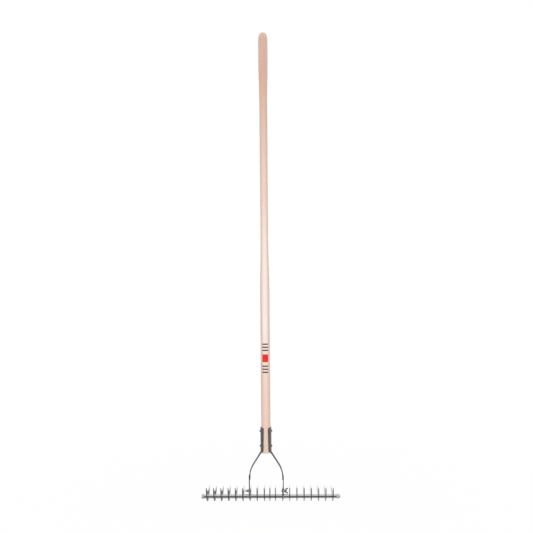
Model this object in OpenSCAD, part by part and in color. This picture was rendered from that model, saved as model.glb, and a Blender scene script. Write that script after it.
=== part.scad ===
// Thatch rake: a row of half-moon tines on a rod, carried by a bow of two steel
// arms on a turned wooden handle. Millimetres. The rod lies along X, the handle
// stands along +Z, and the front is towards -Y. The origin is on the rod's axis,
// below the handle. Two wing nuts clamp the tilt of the head.

/* [Handle] */
// Length of the wooden handle
handle_length = 1366; // [1200:1:1600]
// Diameter of the straight lower part
handle_d = 30; // [27:0.2:33]
// Length of the straight lower part
lower_straight = 520; // [400:5:600]
// Length over which the handle thins to its waist
lower_taper = 175; // [120:5:300]
// Diameter of the waist, the slimmest part
waist_d = 24.8; // [21:0.2:26]
// Length of the waist
waist_length = 120; // [30:5:160]
// Diameter just below the grip's swell
neck_d = 25.6; // [24:0.2:28]
// Length over which the neck swells into the grip
swell_length = 145; // [90:5:200]
// Diameter of the grip
grip_d = 30.2; // [27:0.2:33]
// Length of the cylindrical part of the grip
grip_length = 48; // [40:1:90]
// Length of the domed top end
dome_length = 39; // [20:1:50]
// Chamfer round the lower end
handle_chamfer = 1.2; // [0.5:0.1:3]

/* [Bow arms] */
// Thickness of the arm steel
strap_t = 2.8; // [2:0.1:3.6]
// Clearance between the half sockets and the handle
socket_fit = 0.1; // [0.05:0.05:0.3]
// Height of the half sockets above the handle's lower end
socket_height = 83; // [78:1:120]
// Slit between both half sockets at their top
slit_top = 14.6; // [8:0.2:18]
// Slit between both half sockets at the handle's lower end
slit_bottom = 18; // [10:0.5:22]
// Radius of the half sockets' top corners
socket_corner = 4; // [1:0.5:6]
// Height over which the half sockets narrow to the strap, above the handle's lower end
socket_taper = 10; // [6:1:30]
// Width of the strap below the half socket
strap_w = 18; // [14:0.5:24]
// Distance from the handle's lower end down to the rod
rod_drop = 142; // [130:1:170]
// Distance between the middles of both arms at the rod
arm_span = 110.4; // [100:0.5:124]
// Angle of the flare to the handle
flare_angle = 32; // [28:0.5:36]
// Height above the handle's lower end at which the flare starts
hip_height = 8; // [4:0.5:14]
// Bend radius at the top of the flare
hip_r = 14; // [8:1:20]
// Bend radius at the bottom of the flare
knee_r = 76; // [60:1:95]
// Height by which the flat foot laps up the outside of the knee
lap_height = 4; // [3:0.5:12]
// Distance from the foot's middle in to the strap's middle, where both lap
lap_inset = 1.4; // [0.2:0.1:2]
// Radius of the foot's end round the rod
foot_r = 9; // [8:0.2:11]

/* [Rivets] */
// Diameter of the rivets
rivet_d = 5; // [4:0.1:6]
// Clearance of the rivets in their holes, on the diameter
rivet_fit = 0.2; // [0.1:0.05:0.4]
// Diameter of the rivet heads
rivet_head_d = 7.8; // [7:0.1:10]
// Height of the rivet heads
rivet_head_h = 2.9; // [2:0.1:4]
// Height of the lower rivet above the handle's lower end
lower_rivet_height = 22.3; // [18:0.5:35]
// Distance between both rivets
rivet_pitch = 48.3; // [35:0.5:52]

/* [Tines] */
// Number of tines outside the left arm
left_tine_count = 6; // [3:1:7]
// Number of tines outside the right arm
right_tine_count = 7; // [3:1:8]
// Distance from tine to tine
tine_pitch = 23.1; // [21:0.1:25]
// Thickness of a tine
tine_t = 2.3; // [1.6:0.1:3]
// Fore and aft distance between the two tips of a tine
tine_length = 104; // [90:1:116]
// Height of the tips above the rod's axis
tip_height = 30; // [24:0.5:36]
// Depth of the belly below the rod's axis
belly_depth = 15; // [12:0.5:20]
// Height of the inner edge above the rod's axis, at the middle
inner_height = 16; // [11:0.5:18]
// Length cut off each sharp tip
tip_cut = 0.8; // [0.4:0.1:2]
// Tilt of the head at rest, front tips up
rest_tilt = 14; // [0:1:18]

/* [Rod and spacers] */
// Diameter of the tine rod
rod_d = 7.94; // [6:0.02:8.5]
// Running clearance round the rod, on the diameter
rod_fit = 0.14; // [0.06:0.02:0.2]
// Outer diameter of the spacer tubes
spacer_d = 12.7; // [11.5:0.1:13.5]
// Length of the spacer at each end
end_spacer_length = 11.5; // [6:0.5:18]
// Play on each side of an arm between its neighbours
side_play = 0.1; // [0.05:0.05:0.3]
// Width across the flats of the rod's head and of the lock nut
hex_flats = 12.7; // [12.4:0.1:14]
// Height of the rod's head
rod_head_h = 7; // [4:0.1:8]
// Height of the lock nut's hexagon
lock_hex_h = 9; // [5:0.1:10]
// Height of the lock nut's round collar
lock_collar_h = 1.5; // [1:0.1:4]
// Length of thread showing past the lock nut
rod_tip = 1.4; // [1:0.1:6]

/* [Tilt clamps] */
// Distance from the rod's axis to the clamp bolts
clamp_r = 17; // [16.5:0.1:19]
// Tilt that the curved slots allow to each side of upright
clamp_swing = 25; // [19:1:28]
// Diameter of the clamp bolts
clamp_d = 4.8; // [4:0.1:5]
// Clearance round the bolt in the curved slot, on the diameter
slot_fit = 0.6; // [0.4:0.1:1]
// Steel left round the curved slots
slot_rim = 3.8; // [2.5:0.1:5]
// Diameter of the bolt heads
clamp_head_d = 11; // [9:0.1:12]
// Height of the bolt heads
clamp_head_h = 2.6; // [1.8:0.1:4]
// Steel left round the bolt hole in a clamped tine
tab_rim = 4.6; // [3:0.1:6]
// Clearance round the bolt's square neck, on the width
neck_fit = 0.2; // [0.1:0.05:0.4]
// Outer diameter of the washers
washer_d = 11.5; // [10:0.1:13]
// Thickness of the washers
washer_t = 1.2; // [0.8:0.1:2]
// Running clearance of washers and wing nuts on the bolts, on the diameter
thread_fit = 0.16; // [0.1:0.02:0.2]
// Distance between the wing tips of a wing nut
wing_span = 18.6; // [15:0.2:19.4]
// Height of a wing nut, up to the wing tips
wing_h = 12.6; // [9.5:0.1:14]
// Thickness of the wings
wing_t = 2; // [1.4:0.1:2.6]
// Diameter of a wing nut's hub
hub_d = 9; // [8:0.1:10]
// Height of a wing nut's hub
hub_h = 6; // [4.5:0.1:7]
// Length of bolt showing past a wing nut's hub
clamp_tip = 3.4; // [2.8:0.1:5]

/* [Hidden] */
$fn = 64;
tine_count = left_tine_count + right_tine_count + 6;
handle_z = rod_drop;
neck_z = handle_length - dome_length - grip_length - swell_length;
arm_x = arm_span / 2;
strap_x = arm_x - lap_inset;
arm_inner = arm_x - strap_t / 2;
arm_outer = arm_x + strap_t / 2;
socket_in = handle_d / 2 + socket_fit;
socket_out = socket_in + strap_t;
socket_mid = socket_in + strap_t / 2;
socket_top = handle_z + socket_height;
hip_z = handle_z + hip_height;
hip_out = hip_r * (1 - cos(flare_angle));
knee_out = knee_r * (1 - cos(flare_angle));
flare_run = strap_x - socket_mid - hip_out - knee_out;
flare_top_z = hip_z - hip_r * sin(flare_angle);
flare_end_z = flare_top_z - flare_run / tan(flare_angle);
knee_z = flare_end_z - knee_r * sin(flare_angle);
strap_overlap = 9.5;
bend_steps = 12;
taper_steps = 16;
dome_steps = 14;
slot_steps = 12;
rod_hole = rod_d + rod_fit;
rivet_hole = rivet_d + rivet_fit;
slot_w = clamp_d + slot_fit;
fan_r = clamp_r + slot_w / 2 + slot_rim;
neck_w = clamp_d;
inner_tine_x = arm_inner - side_play - tine_t / 2;
left_inner = left_tine_count + 1;
right_inner = left_tine_count + 6;
middle_tine = left_tine_count + 4;
left_end_x = tine_x(1) - tine_t / 2 - end_spacer_length;
right_end_x = tine_x(tine_count) + tine_t / 2 + end_spacer_length;
rod_end_x = right_end_x + lock_hex_h + lock_collar_h + rod_tip;
washer_x = arm_outer + side_play / 2;
nut_x = washer_x + washer_t;
clamp_end_x = nut_x + hub_h + clamp_tip;
hex_r = hex_flats / 2 / cos(30);
hex_chamfer = 0.6;
edge_break = 0.6;
far = 2 * (rod_drop + arm_span);

// Middle of tine i: even steps outwards from both arms, and the middle tine fills
// what is left between its neighbours.
function tine_x(i) =
    i <= left_inner + 2 ? -inner_tine_x + (i - left_inner) * tine_pitch
    : i >= right_inner - 1 ? inner_tine_x + (i - right_inner) * tine_pitch
    : (tine_x(middle_tine - 1) + tine_x(middle_tine + 1)) / 2;

// Left and right end of spacer i, between tine i and tine i + 1. It gives way to
// an arm where one stands in that gap.
function spacer_start(i) =
    i == right_inner ? arm_outer + side_play : tine_x(i) + tine_t / 2;
function spacer_stop(i) =
    i == left_inner - 1 ? -arm_outer - side_play : tine_x(i + 1) - tine_t / 2;

// Names with a two-figure number
function numbered(name, i) = str(name, i < 10 ? "_0" : "_", i);

// Smooth step from one radius to another, as points of a turned outline
function turned(z0, r0, z1, r1) = [
    for (i = [1 : taper_steps])
        let (t = i / taper_steps)
        [r0 + (r1 - r0) * (1 - cos(180 * t)) / 2, z0 + (z1 - z0) * t]
];

// Blunt dome on radius r, square root of 1 minus t to the fourth
function domed(z0, r, h) = [
    for (i = [1 : dome_steps])
        let (t = sin(90 * i / dome_steps))
        [r * sqrt(max(0, 1 - pow(t, 4))), z0 + h * t]
];

// Middle line of an arm as [distance from the handle's axis, height, slope]
function arm_line() = concat(
    [[socket_mid, socket_top, 0]],
    [for (i = [0 : bend_steps])
        let (a = flare_angle * i / bend_steps)
        [socket_mid + hip_r * (1 - cos(a)), hip_z - hip_r * sin(a), a]],
    [for (i = [0 : bend_steps])
        let (a = flare_angle * (1 - i / bend_steps))
        [strap_x - knee_r * (1 - cos(a)), knee_z + knee_r * sin(a), a]],
    [[strap_x, knee_z - strap_overlap, 0]]
);

// One face of the strap, at distance d from its middle line
function arm_face(d) = [for (p = arm_line()) [p[0] + d * cos(p[2]), p[1] + d * sin(p[2])]];

function reversed(list) = [for (i = [len(list) - 1 : -1 : 0]) list[i]];

// Stands a flat outline, drawn as (Y, Z), in the plane x and gives it thickness t
module plate(x, t) {
    translate([x, 0, 0])
        rotate([90, 0, 90])
            linear_extrude(height = t)
                children();
}

// Turns a shape that stands along +Z so that it lies along +X from x
module along_x(x) {
    translate([x, 0, 0])
        rotate([0, 90, 0])
            children();
}

// Tilts what belongs to the head about the rod, front tips up
module tilted() {
    rotate([-rest_tilt, 0, 0])
        children();
}

// Places what sits on a clamp bolt's axis
module on_clamp() {
    tilted()
        translate([0, 0, clamp_r])
            children();
}

// Round holes for both rivets
module rivet_holes() {
    for (z = [0, rivet_pitch])
        translate([0, 0, handle_z + lower_rivet_height + z])
            along_x(-far)
                cylinder(d = rivet_hole, h = 2 * far);
}

// Turned handle with two cross holes
module handle() {
    r = handle_d / 2;
    outline = concat(
        [[0, 0], [r - handle_chamfer, 0], [r, handle_chamfer], [r, lower_straight]],
        turned(lower_straight, r, lower_straight + lower_taper, waist_d / 2),
        [[waist_d / 2, lower_straight + lower_taper + waist_length]],
        [[neck_d / 2, neck_z]],
        turned(neck_z, neck_d / 2, neck_z + swell_length, grip_d / 2),
        [[grip_d / 2, handle_length - dome_length]],
        domed(handle_length - dome_length, grip_d / 2, dome_length)
    );
    color("burlywood")
        difference() {
            translate([0, 0, handle_z])
                rotate_extrude()
                    polygon(outline);
            rivet_holes();
        }
}

// Strap of the right arm as a bell round the handle's axis, before trimming
module bell() {
    rotate_extrude()
        polygon(concat(arm_face(strap_t / 2), reversed(arm_face(-strap_t / 2))));
}

// What stays of the bell, seen from the front: past the slit, with round top corners
module front_trim() {
    c = socket_corner;
    rotate([90, 0, 0])
        linear_extrude(height = far, center = true)
            difference() {
                polygon([
                    [slit_bottom / 2, 0],
                    [far, 0],
                    [far, socket_top + c],
                    [slit_top / 2, socket_top + c],
                    [slit_bottom / 2, handle_z]
                ]);
                translate([slit_top / 2, socket_top - c])
                    difference() {
                        translate([-c, 0])
                            square(2 * c);
                        translate([c, 0])
                            circle(c);
                        translate([c, 0])
                            square(2 * c);
                    }
            }
}

// What stays of the bell, seen from the side: it narrows to the strap's width
module side_trim() {
    slit_y = sqrt(socket_out * socket_out - slit_bottom * slit_bottom / 4);
    slope = (slit_y - strap_w / 2) / socket_taper;
    top = socket_top + strap_t;
    wide = strap_w / 2 + slope * (top - handle_z);
    plate(0, far)
        polygon([
            [-strap_w / 2, 0],
            [strap_w / 2, 0],
            [strap_w / 2, handle_z],
            [wide, top],
            [-wide, top],
            [-strap_w / 2, handle_z]
        ]);
}

// Wedge from the rod's axis, a degrees to each side of upright
module wedge(a, r) {
    polygon([[0, 0], [-r * tan(a), r], [r * tan(a), r]]);
}

// Points on an arc of radius r about c, from one angle to another, clockwise from +Z
function arc(c, r, from, to) = [
    for (i = [0 : slot_steps])
        let (a = from + (to - from) * i / slot_steps)
        c + r * [sin(a), cos(a)]
];

// Curved slot round the rod that a clamp bolt swings in, with round ends
module curved_slot() {
    end = clamp_r * [sin(clamp_swing), cos(clamp_swing)];
    polygon(concat(
        arc([0, 0], clamp_r + slot_w / 2, -clamp_swing, clamp_swing),
        arc(end, slot_w / 2, clamp_swing, clamp_swing + 180),
        arc([0, 0], clamp_r - slot_w / 2, clamp_swing, -clamp_swing),
        arc([-end[0], end[1]], slot_w / 2, 180 - clamp_swing, 360 - clamp_swing)
    ));
}

// Two discs and the straight sides that touch them both
module tapered_bar(a, ra, b, rb) {
    run = b - a;
    heading = atan2(run[1], run[0]);
    turn = acos((ra - rb) / norm(run));
    function rim(c, r, s) = c + r * [cos(heading + s * turn), sin(heading + s * turn)];
    polygon([rim(a, ra, 1), rim(b, rb, 1), rim(b, rb, -1), rim(a, ra, -1)]);
    translate(a)
        circle(ra);
    translate(b)
        circle(rb);
}

// Outline of the foot: strap, fan with the curved slot, and the end round the rod
module foot_outline() {
    slot_end_y = clamp_r * sin(clamp_swing);
    slot_end_z = clamp_r * cos(clamp_swing);
    difference() {
        union() {
            translate([-strap_w / 2, slot_end_z])
                square([strap_w, knee_z + lap_height - slot_end_z]);
            for (s = [-1, 1])
                tapered_bar([0, 0], foot_r, [s * slot_end_y, slot_end_z], slot_w / 2 + slot_rim);
            intersection() {
                circle(fan_r);
                wedge(clamp_swing, far);
            }
        }
        circle(d = rod_hole);
        curved_slot();
    }
}

// Right arm in its place
module arm() {
    difference() {
        intersection() {
            bell();
            front_trim();
            side_trim();
        }
        rivet_holes();
    }
    plate(arm_inner, strap_t)
        foot_outline();
}

module right_arm() {
    color("dimgray")
        arm();
}

module left_arm() {
    color("dimgray")
        mirror([1, 0, 0])
            arm();
}

// Domed head of diameter d and height h, standing on the plane z = 0
module domed_head(d, h) {
    ball = (d * d / 4 + h * h) / (2 * h);
    intersection() {
        translate([0, 0, h - ball])
            sphere(ball);
        cylinder(d = d, h = h);
    }
}

// Rivet across the handle, its heads bedded on both half sockets
module rivet(height) {
    tight = 0.02;
    translate([0, 0, handle_z + height])
        color("gray") {
            along_x(-socket_out)
                cylinder(d = rivet_d, h = 2 * socket_out);
            for (s = [0, 1])
                mirror([s, 0, 0])
                    difference() {
                        along_x(socket_out)
                            domed_head(rivet_head_d, rivet_head_h);
                        cylinder(r = socket_out + tight, h = far, center = true);
                    }
        }
}

module upper_rivet() {
    rivet(lower_rivet_height + rivet_pitch);
}

module lower_rivet() {
    rivet(lower_rivet_height);
}

// Hexagon of height h with both rims chamfered, two flats level when the head is at rest
module hex(h) {
    r = hex_r;
    intersection() {
        rotate(30 + rest_tilt)
            cylinder(r = r, h = h, $fn = 6);
        rotate_extrude()
            polygon([
                [0, 0],
                [r - hex_chamfer, 0],
                [r, hex_chamfer],
                [r, h - hex_chamfer],
                [r - hex_chamfer, h],
                [0, h]
            ]);
    }
}

// Long bolt through the whole head
module tine_rod() {
    start_x = left_end_x - rod_head_h / 2;
    length = rod_end_x - start_x;
    color("silver")
        tilted() {
            along_x(left_end_x - rod_head_h)
                hex(rod_head_h);
            along_x(start_x)
                rotate_extrude()
                    polygon([
                        [0, 0],
                        [rod_d / 2, 0],
                        [rod_d / 2, length - edge_break],
                        [rod_d / 2 - edge_break, length],
                        [0, length]
                    ]);
        }
}

module rod_lock_nut() {
    color("silver")
        tilted()
            along_x(right_end_x)
                difference() {
                    union() {
                        hex(lock_hex_h);
                        cylinder(d = hex_flats - 2 * hex_chamfer, h = lock_hex_h + lock_collar_h);
                    }
                    cylinder(d = rod_hole, h = far, center = true);
                }
}

// Half-moon between two arcs that meet at the tips
module half_moon() {
    half = tine_length / 2;
    rise_out = tip_height + belly_depth;
    rise_in = tip_height - inner_height;
    r_out = (half * half + rise_out * rise_out) / (2 * rise_out);
    r_in = (half * half + rise_in * rise_in) / (2 * rise_in);
    intersection() {
        difference() {
            translate([0, r_out - belly_depth])
                circle(r_out);
            translate([0, r_in + inner_height])
                circle(r_in);
        }
        square([tine_length - 2 * tip_cut, 2 * far], center = true);
    }
}

// Tine i. Those beside the arms have a tab with a square hole for the clamp bolt.
module tine(i) {
    clamped = i == left_inner || i == right_inner;
    color("darkgray")
        tilted()
            plate(tine_x(i) - tine_t / 2, tine_t)
                difference() {
                    union() {
                        half_moon();
                        if (clamped)
                            translate([0, clamp_r])
                                circle(neck_w / 2 + tab_rim);
                    }
                    circle(d = rod_hole);
                    if (clamped)
                        translate([0, clamp_r])
                            square(neck_w + neck_fit, center = true);
                }
}

// Spacer tube from x0 to x1
module tube(x0, x1) {
    color("gainsboro")
        along_x(x0)
            difference() {
                cylinder(d = spacer_d, h = x1 - x0);
                cylinder(d = rod_hole, h = far, center = true);
            }
}

module spacer(i) {
    tube(spacer_start(i), spacer_stop(i));
}

module left_end_spacer() {
    tube(left_end_x, left_end_x + end_spacer_length);
}

module right_end_spacer() {
    tube(right_end_x - end_spacer_length, right_end_x);
}

// Clamp bolt on the right: domed head inside the tine, square neck in its hole
module clamp_bolt() {
    face = inner_tine_x - tine_t / 2;
    on_clamp() {
        mirror([1, 0, 0])
            along_x(-face)
                domed_head(clamp_head_d, clamp_head_h);
        translate([face, -neck_w / 2, -neck_w / 2])
            cube([tine_t, neck_w, neck_w]);
        along_x(face)
            rotate_extrude()
                polygon([
                    [0, 0],
                    [clamp_d / 2, 0],
                    [clamp_d / 2, clamp_end_x - face - edge_break],
                    [clamp_d / 2 - edge_break, clamp_end_x - face],
                    [0, clamp_end_x - face]
                ]);
    }
}

module right_clamp_bolt() {
    color("lightsteelblue")
        clamp_bolt();
}

module left_clamp_bolt() {
    color("lightsteelblue")
        mirror([1, 0, 0])
            clamp_bolt();
}

// Washer on the right clamp bolt
module washer() {
    on_clamp()
        along_x(washer_x)
            difference() {
                cylinder(d = washer_d, h = washer_t);
                cylinder(d = clamp_d + thread_fit, h = far, center = true);
            }
}

module right_washer() {
    color("silver")
        washer();
}

module left_washer() {
    color("silver")
        mirror([1, 0, 0])
            washer();
}

// One wing as (distance from the bolt's axis, height above the washer)
module wing_outline() {
    tip_r = 2.6;
    low = 1;
    root = clamp_d / 2 + thread_fit;
    polygon([
        [root, low],
        [hub_d / 2, low],
        [wing_span / 2, wing_h - tip_r],
        [wing_span / 2 - 2 * tip_r, wing_h - tip_r],
        [root, hub_h]
    ]);
    translate([wing_span / 2 - tip_r, wing_h - tip_r])
        circle(tip_r);
}

// Wing nut on the right clamp bolt, its wings turned by a about the bolt
module wing_nut(a) {
    on_clamp()
        along_x(nut_x)
            rotate(a)
                difference() {
                    union() {
                        cylinder(d1 = hub_d, d2 = hub_d - 2 * edge_break, h = hub_h);
                        for (s = [0, 180])
                            rotate([90, 0, s])
                                linear_extrude(height = wing_t, center = true)
                                    wing_outline();
                    }
                    cylinder(d = clamp_d + thread_fit, h = far, center = true);
                }
}

// The right wings stand up and down, the left ones lie level when the head is at rest
module right_wing_nut() {
    color("silver")
        wing_nut(0);
}

module left_wing_nut() {
    color("silver")
        mirror([1, 0, 0])
            wing_nut(90 + rest_tilt);
}

handle();
left_arm();
right_arm();
upper_rivet();
lower_rivet();
tine_rod();
rod_lock_nut();
for (i = [1 : tine_count])
    tine(i);
for (i = [1 : tine_count - 1])
    spacer(i);
left_end_spacer();
right_end_spacer();
left_clamp_bolt();
right_clamp_bolt();
left_washer();
right_washer();
left_wing_nut();
right_wing_nut();
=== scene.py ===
# %% [markdown]
# # Dressing a thatch rake
# The imported model already holds every piece of the rake in its place: a turned ash
# handle, a bow of two steel arms, and a head of nineteen half-moon tines on a rod. This
# lesson gives each piece its finished shape and its surface. It starts by loading that
# model as a fixed frame, because a piece that is built in the frame's own coordinates
# needs no fitting afterwards. The box of the bare model is kept; it sets the floor's height.

# %% Load the imported rake
import math

import bpy
import numpy as np
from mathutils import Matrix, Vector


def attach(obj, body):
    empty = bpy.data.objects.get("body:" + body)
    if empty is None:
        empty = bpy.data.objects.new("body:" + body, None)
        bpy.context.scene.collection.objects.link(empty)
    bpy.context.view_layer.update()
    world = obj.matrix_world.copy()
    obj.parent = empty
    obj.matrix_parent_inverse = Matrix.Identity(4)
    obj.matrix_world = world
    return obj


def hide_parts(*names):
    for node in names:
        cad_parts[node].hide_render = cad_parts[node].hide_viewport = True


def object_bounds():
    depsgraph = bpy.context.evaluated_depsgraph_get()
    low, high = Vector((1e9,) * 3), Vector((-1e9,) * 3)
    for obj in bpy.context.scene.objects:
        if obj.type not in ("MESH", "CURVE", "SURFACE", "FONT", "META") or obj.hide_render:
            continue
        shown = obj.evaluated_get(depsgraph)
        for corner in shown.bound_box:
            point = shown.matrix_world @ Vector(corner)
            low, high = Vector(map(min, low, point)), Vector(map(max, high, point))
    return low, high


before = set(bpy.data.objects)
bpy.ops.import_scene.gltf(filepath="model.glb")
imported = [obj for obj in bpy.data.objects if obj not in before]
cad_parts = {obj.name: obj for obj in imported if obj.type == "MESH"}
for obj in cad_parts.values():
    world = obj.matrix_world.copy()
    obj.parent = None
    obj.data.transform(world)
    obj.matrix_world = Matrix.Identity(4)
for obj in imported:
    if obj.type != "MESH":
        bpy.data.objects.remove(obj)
cad_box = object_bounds()
scene = bpy.context.scene

# %% [markdown]
# ## Camera
# The photograph looks straight at the front, from about two metres away and from half
# the handle's height. One pixel covers 3.25 mm at the handle, so the lens follows from
# the distance and the picture's width. The camera stands a few centimetres to the right and
# turns back by about one degree, because the tines there look straight on. That turn tips
# the bar's picture one way and a small roll tips it back, so the bar is level while the
# handle leans a little, as in the photograph.

# %% Camera
IMAGE_SIDE, MM_PER_PIXEL, SENSOR_WIDTH = 533, 3.252, 36.0
stand_off, aim_x, eye_z = 2.2, 0.0063, 0.747
turn, roll = math.radians(1.1), math.radians(0.47)
lens = bpy.data.cameras.new("front_camera")
lens.sensor_width = SENSOR_WIDTH
lens.lens = SENSOR_WIDTH * stand_off / (IMAGE_SIDE * MM_PER_PIXEL / 1000)
camera = bpy.data.objects.new("front_camera", lens)
camera.location = (aim_x + stand_off * math.tan(turn), -stand_off, eye_z)
camera.rotation_euler = (math.radians(90), roll, turn)
scene.collection.objects.link(camera)
scene.camera = camera
scene.view_settings.view_transform = "Standard"
print(f"lens {lens.lens:.1f} mm at {stand_off} m")

# %% [markdown]
# ## Node helpers
# A material is a small graph. One helper adds a node, sets its fields, and gives each input
# either a value or the socket that feeds it. Short helpers on top of it add, multiply, mix
# and grade. A socket knows its own graph, so these need only the sockets. Colours are
# written as the 0 to 255 numbers of a picture and turned into light.

# %% Node helpers
def put(tree, kind, inputs=(), **fields):
    """Adds a shader node; inputs pairs a socket's name or number with a value or a feeding socket."""
    made = tree.nodes.new("ShaderNode" + kind)
    for field, value in fields.items():
        setattr(made, field, value)
    for key, value in dict(inputs).items():
        if isinstance(value, bpy.types.NodeSocket):
            tree.links.new(value, made.inputs[key])
        else:
            made.inputs[key].default_value = value
    return made


def fed(kind, inputs, **fields):
    """A node in the graph of the first socket among its inputs."""
    socket = next(value for value in inputs.values() if isinstance(value, bpy.types.NodeSocket))
    return put(socket.id_data, kind, inputs, **fields)


def maths(operation, a, b=0.0):
    """One operation on two numbers, at least one of them a socket."""
    return fed("Math", {0: a, 1: b}, operation=operation).outputs[0]


def times(a, b):
    """The product of two numbers."""
    return maths("MULTIPLY", a, b)


def plus(a, b):
    """The sum of two numbers."""
    return maths("ADD", a, b)


def stretched(vector, factors):
    """A vector whose parts are each multiplied by a factor."""
    return fed("VectorMath", {0: vector, 1: factors}, operation="MULTIPLY").outputs[0]


def length(vector):
    """The root of the sum of a vector's squared parts."""
    return fed("VectorMath", {0: vector}, operation="LENGTH").outputs["Value"]


def mixed(share, a, b):
    """Two colours mixed by a share from 0 to 1."""
    return fed("Mix", {0: share, 6: a, 7: b}, data_type="RGBA").outputs[2]


def graded(value, low, high, to_low=0.0, to_high=1.0, how="SMOOTHSTEP"):
    """A value's run from low to high, eased or even, as another run and held at its ends."""
    inputs = {0: value, 1: low, 2: high, 3: to_low, 4: to_high}
    return fed("MapRange", inputs, interpolation_type=how).outputs[0]


def ramped(value, stops):
    """The colour at a value from 0 to 1, between stops of a position and a colour."""
    ramp = fed("ValToRGB", {0: value})
    elements = ramp.color_ramp.elements
    while len(elements) < len(stops):
        elements.new(0.5)
    for element, (position, colour) in zip(elements, stops):
        element.position, element.color = position, colour
    return ramp.outputs[0]


def tone(red, green, blue):
    """Picture numbers as linear light, by the sRGB curve."""
    part = np.array([red, green, blue]) / 255
    light = np.where(part <= 0.04045, part / 12.92, ((part + 0.055) / 1.055) ** 2.4)
    return (*light.tolist(), 1.0)


def layered(base, *layers):
    """A base colour covered in turn by layers of a mask, the share it covers and a colour."""
    for mask, share, colour in layers:
        base = mixed(times(mask, share), base, tone(*colour))
    return base


print("mid grey of a picture is light", round(tone(128, 128, 128)[0], 3))

# %% [markdown]
# ## Studio
# The rake stands on its tines on a pale floor in soft light from all sides. Two broad
# lamps beside the camera lift its front. The floor shows white to the camera and still
# takes a little of the rake's shadow. Bright metal is only as good as what it mirrors.
# Here it mirrors a light ceiling and, in place of the pale floor, a painted reflection:
# dark bands of painted shade in front of and behind the rake, so each tube is pale on top
# and dark below, and a painted bright patch behind the rake that brightens from left to
# right, which pales the faces of the right tines.

# %% Floor
WHITE = (1, 1, 1, 1)
FLOOR_HALF, FLOOR_GAP = 60.0, 0.0002
floor_z = cad_box[0].z - FLOOR_GAP
floor_mesh = bpy.data.meshes.new("studio_floor")
corners = [(x * FLOOR_HALF, y * FLOOR_HALF, floor_z) for x, y in ((-1, -1), (1, -1), (1, 1), (-1, 1))]
floor_mesh.from_pydata(corners, [], [(0, 1, 2, 3)])
floor = bpy.data.objects.new("studio_floor", floor_mesh)
scene.collection.objects.link(floor)

floor_paint = bpy.data.materials.new("studio_floor")
floor_paint.use_nodes = True
tree = floor_paint.node_tree
tree.nodes.remove(tree.nodes["Principled BSDF"])
rays = put(tree, "LightPath").outputs
on_floor = put(tree, "TexCoord").outputs["Object"]
spot = fed("SeparateXYZ", {0: on_floor}).outputs
seen = maths("MAXIMUM", rays["Is Camera Ray"], rays["Is Transmission Ray"])
seen = times(seen, graded(length(on_floor), 0.3, 1.5, 0.98, 1.0))
seen = maths("MAXIMUM", seen, rays["Is Glossy Ray"])
# Painted reflection: glossy rays see these painted dark bands, not the pale floor itself.
painted_reflection_bands = (
    (0.15, 0.50),
    (0.36, 0.06),
    (0.468, 0.06),
    (0.49, 0.58),
    (0.53, 0.24),
    (0.70, 0.24),
    (0.95, 0.85),
)
stops = [(position, (level, level, level, 1)) for position, level in painted_reflection_bands]
bands = ramped(graded(spot["Y"], -0.5, 0.5, how="LINEAR"), stops)
# Painted highlight in reflections: a bright patch behind the rake, brighter to the right.
bright = times(graded(spot["Y"], -0.02, 0.02), graded(spot["X"], -0.15, 0.25))
painted_floor_reflection = mixed(bright, bands, WHITE)
matt = put(tree, "BsdfDiffuse", {"Color": (0.8, 0.8, 0.8, 1)})
glow_colour = mixed(rays["Is Glossy Ray"], WHITE, painted_floor_reflection)
glow = fed("Emission", {"Color": glow_colour, "Strength": 1.0})
both = fed("MixShader", {0: seen, 1: matt.outputs[0], 2: glow.outputs[0]})
tree.links.new(both.outputs[0], tree.nodes["Material Output"].inputs["Surface"])
floor_mesh.materials.append(floor_paint)
print(f"floor at {floor_z * 1000:.1f} mm")

# %% Room light and lamps
world = bpy.data.worlds.new("studio_room")
scene.world = world
world.use_nodes = True
tree = world.node_tree
aim = fed("SeparateXYZ", {0: put(tree, "TexCoord").outputs["Generated"]}).outputs
forward = times(aim["Y"], -1.0)
low_front = times(graded(forward, 0.1, 0.5), graded(aim["Z"], 0.68, 0.22))
mirror_room = mixed(low_front, (1.0, 1.0, 1.02, 1), (0.14, 0.14, 0.15, 1))
lit_room = mixed(graded(forward, -0.5, 0.9), (0.52, 0.52, 0.52, 1), (1.02, 1.02, 1.02, 1))
rays = put(tree, "LightPath").outputs
room = mixed(rays["Is Diffuse Ray"], mirror_room, lit_room)
room = mixed(rays["Is Camera Ray"], room, WHITE)
tree.links.new(room, tree.nodes["Background"].inputs["Color"])
world.cycles.sampling_method = "NONE"

LAMP_X, LAMP_AWAY, LAMP_Z, LAMP_POWER = 0.7, 2.4, 1.25, 12.0
for name, x in (("left_softbox", -LAMP_X), ("right_softbox", LAMP_X)):
    lamp = bpy.data.lights.new(name, "AREA")
    lamp.shape, lamp.size, lamp.size_y, lamp.energy = "RECTANGLE", 1.0, 1.6, LAMP_POWER
    lamp_object = bpy.data.objects.new(name, lamp)
    lamp_object.location = (x, -LAMP_AWAY, LAMP_Z)
    lamp_object.rotation_euler = (math.radians(75), 0, math.atan2(x, LAMP_AWAY))
    lamp_object.visible_glossy = False
    scene.collection.objects.link(lamp_object)

# %% [markdown]
# ## Shared surface effects
# Wood, paint and plated steel share a few effects: long streaks along a direction, cloudy
# patches, scuffs, and wear that shows on edges first. Each is a node group, built once and
# placed in every material with its own sizes. The groups put out numbers from 0 to 1; what
# a number does to colour, gloss or height is settled in the material. Wear needs to know
# where the edges are, so each piece stores that per point, in an attribute named edge.

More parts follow.
